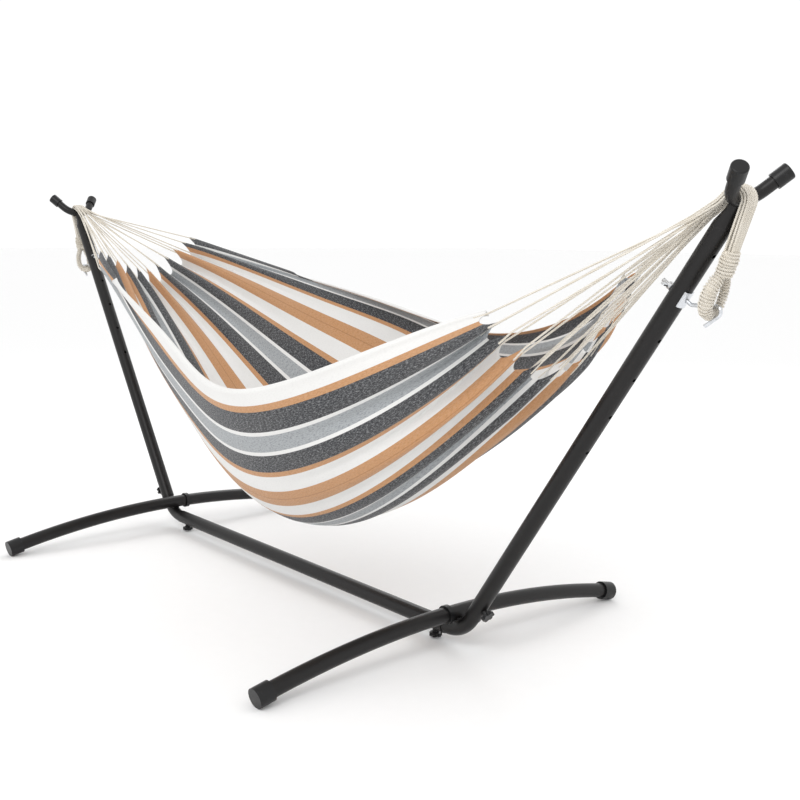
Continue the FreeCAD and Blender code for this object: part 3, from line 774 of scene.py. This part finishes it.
def sewn_ends(end):
    """For every cord of one end, the points in the cloth that it is sewn to, tip last."""
    column = 0 if end == "left" else columns - 1
    inwards = 1 if end == "left" else -1
    sewn = []
    for cord in range(cords_per_end):
        row = int(np.argmin(np.abs(cloth_flat - (tip_first + cord * tip_pitch))))
        line = [Vector(cloth_points[row, column + inwards * step])
                for step in range(sewn_columns, -1, -1)]
        sewn.append([half_turn(point) for point in line] if end == "left" else line)
    return sewn


def cord_routes(sewn):
    """Routes of one end's cords from the cloth to the whipping, as for the right end."""
    middle = sewn[cords_per_end // 2][-1]
    approach = math.atan2(yoke_axis.z - middle.z, yoke_axis.x - middle.x)
    arrive_angle = math.pi / 2 + approach
    heading = Vector((math.cos(approach), 0, math.sin(approach)))
    in_order = 1 if sewn[-1][-1].y > sewn[0][-1].y else -1
    chance = np.random.default_rng(11)
    routes = []
    for index, line in enumerate(sewn):
        tip = line[-1]
        share = in_order * (index / (cords_per_end - 1) - 0.5)
        lift = (index % cord_layers - (cord_layers - 1) / 2) * layer_pitch
        lift += chance.uniform(-lift_jitter, lift_jitter)
        over = sideways * (share * bundle_width + chance.uniform(-side_jitter, side_jitter))
        radius = bundle_radius + lift
        arrive = yoke_axis + spoke(arrive_angle) * radius + over
        gather = arrive - heading * gather_run
        route = list(line)
        route += [tip.lerp(gather, share_along) for share_along in gather_shares]
        route += [gather.lerp(arrive, 0.4), arrive]
        # Round the top of the yoke, then straight down to the whipping.
        for step in range(1, turn_steps + 1):
            angle = arrive_angle + (leave_angle - arrive_angle) * step / turn_steps
            route.append(yoke_axis + spoke(angle) * radius + over)
        reach = (whip_middle - leave_point).length
        for share_down in down_shares:
            routed = leave_point + rope_down * (reach * share_down)
            route.append(routed + rope_out * (lift * (1 + whip_thickening * share_down))
                         + over * (1 - whip_narrowing * share_down))
        routes.append(route)
    return routes


for end in ("right", "left"):
    cords = cord_routes(sewn_ends(end))
    if end == "left":
        cords = [[half_turn(p) for p in route] for route in cords]
    harness = new_piece("harness_" + end, lay_cords("harness_" + end, cords, cotton_cord,
                                                    cord_diameter))
    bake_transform(harness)
    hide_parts("harness_cords_" + end, "rope_bundle_" + end)


# ---- whipping and bound eye ----
# Below the yoke a cord is wound loosely round the bundle.  Under it the cords part into an
# eye, bound thickly down one leg and round the hook and thinly up the other leg.
whip_length = 0.046
whip_pitch = 0.0060
whip_tilt = 0.0018              # how far a turn leans along the bundle
whip_cord = 0.0052
binding_step = 0.0026
core_inset = 0.35               # share of the cord's thickness that sinks into the strands
core_least = 0.002
core_sides = 20
slow_slack = 0.035              # the turns are looser and tighter by these shares
fast_slack = 0.02


def path_lengths(points):
    return np.concatenate([[0], np.cumsum(np.linalg.norm(np.diff(points, axis=0), axis=1))])


def wound(points, radii, pitch, tilt, steps=16):
    """Route of a cord wound round a path whose every point has a wide and a deep radius."""
    lengths = path_lengths(points)
    at = np.linspace(0, lengths[-1], int(lengths[-1] / pitch * steps) + 1)
    middle, before, after, reach = (
        np.stack([np.interp(places, lengths, column) for column in values.T], axis=1)
        for values, places in ((points, at), (points, at - pitch), (points, at + pitch),
                               (radii, at)))
    heading = unit(after - before)
    beside = unit(np.cross(heading, rope_out))
    angle = (math.tau * at / pitch)[:, None]
    loose = 1 + slow_slack * np.sin(0.37 * angle + 1) + fast_slack * np.sin(1.83 * angle)
    return (middle + loose * (beside * reach[:, :1] * np.cos(angle)
                              + np.array(rope_out) * reach[:, 1:] * np.sin(angle))
            + heading * tilt * np.cos(angle + 0.5 * np.sin(0.23 * angle)))


def core(points, radii):
    """Closed tube along a path: the strands that a binding goes round."""
    ahead = np.vstack([points[1:], points[-1:]])
    behind = np.vstack([points[:1], points[:-1]])
    beside = unit(np.cross(unit(ahead - behind), rope_out))
    angle = (math.tau * np.arange(core_sides) / core_sides)[None, :, None]
    vertices = (points[:, None] + beside[:, None] * radii[:, None, :1] * np.cos(angle)
                + np.array(rope_out) * radii[:, None, 1:] * np.sin(angle))
    faces = []
    for ring in range(len(points) - 1):
        here = ring * core_sides
        there = here + core_sides
        for side in range(core_sides):
            beside_it = (side + 1) % core_sides
            faces.append((here + side, here + beside_it, there + beside_it, there + side))
    faces.append(tuple(range(core_sides - 1, -1, -1)))
    faces.append(tuple(range((len(points) - 1) * core_sides, len(points) * core_sides)))
    return vertices.reshape(-1, 3), faces


def binding_pieces(name, points, radii, pitch, tilt, cord):
    """The wound cord and, under it, the strands that it binds."""
    inner = np.maximum(radii - cord * core_inset, core_least)
    for end in ("right", "left"):
        turned = np.array((1, 1, 1) if end == "right" else (-1, -1, 1))
        route = wound(points, radii, pitch, tilt) * turned
        binding = new_piece(name + "_" + end, lay_cords(name + "_" + end, [route], cotton_cord,
                                                        cord, binding_step))
        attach(binding, "stand")
        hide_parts("rope_" + name + "_" + end)
        vertices, faces = core(points, inner)
        core_mesh = bpy.data.meshes.new(name + "_core_" + end)
        core_mesh.from_pydata((vertices * turned).tolist(), [], faces)
        core_mesh.polygons.foreach_set("use_smooth", [True] * len(faces))
        strands = new_piece(name + "_core_" + end, core_mesh, cotton_cord)
        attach(strands, "stand")


whip_shares = np.array([-0.5, -0.42, -0.2, 0.1, 0.35, 0.5])
whip_points = np.array([whip_middle + rope_down * (whip_length * share) for share in whip_shares])
whip_radii = np.array([(0.0155, 0.0110), (0.0182, 0.0132), (0.0192, 0.0142), (0.0185, 0.0140),
                       (0.0190, 0.0145), (0.0170, 0.0125)])
binding_pieces("whipping", whip_points, whip_radii, whip_pitch, whip_tilt, whip_cord)

eye_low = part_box("rope_eye_right")[0]
eye_half = 0.022
eye_rope_radius = 0.008
bottom_radius = 0.0105
thin_radius = 0.0070            # of the strands in the thin leg
eye_pitch = 0.0058
eye_tilt = 0.0006
eye_cord = 0.0050
whip_bottom = whip_middle + rope_down * (whip_length / 2)
eye_depth = ((whip_bottom.z - eye_low.z - eye_rope_radius) / -rope_down.z
             + bottom_radius - eye_rope_radius)
straight_end = eye_depth - eye_half
# Depth under the whipping, place across and radius of the strands, down one leg and up the
# other.
eye_line = [(-0.004, -0.010, 0.0090), (0.012, -0.019, 0.0115), (0.026, -0.025, 0.0128),
            (0.040, -0.0258, 0.0130)]
for degrees, radius in ((0, 0.0128), (20, 0.0122), (40, 0.0115), (60, bottom_radius),
                        (80, bottom_radius), (100, 0.0098), (120, 0.0090), (140, 0.0080),
                        (160, 0.0074), (180, thin_radius)):
    bend = math.radians(degrees)
    eye_line.append((straight_end + eye_half * math.sin(bend),
                     -(eye_half + (radius - thin_radius) * 0.5) * math.cos(bend), radius))
eye_line += [(0.036, 0.0215, thin_radius), (0.022, 0.0185, thin_radius),
             (0.010, 0.0130, thin_radius), (-0.004, 0.0070, thin_radius)]
eye_points = np.array([whip_bottom + rope_down * depth + sideways * place_across
                       for depth, place_across, _ in eye_line])
eye_radii = np.array([(radius, radius) for _, _, radius in eye_line])
binding_pieces("eye", eye_points, eye_radii, eye_pitch, eye_tilt, eye_cord)
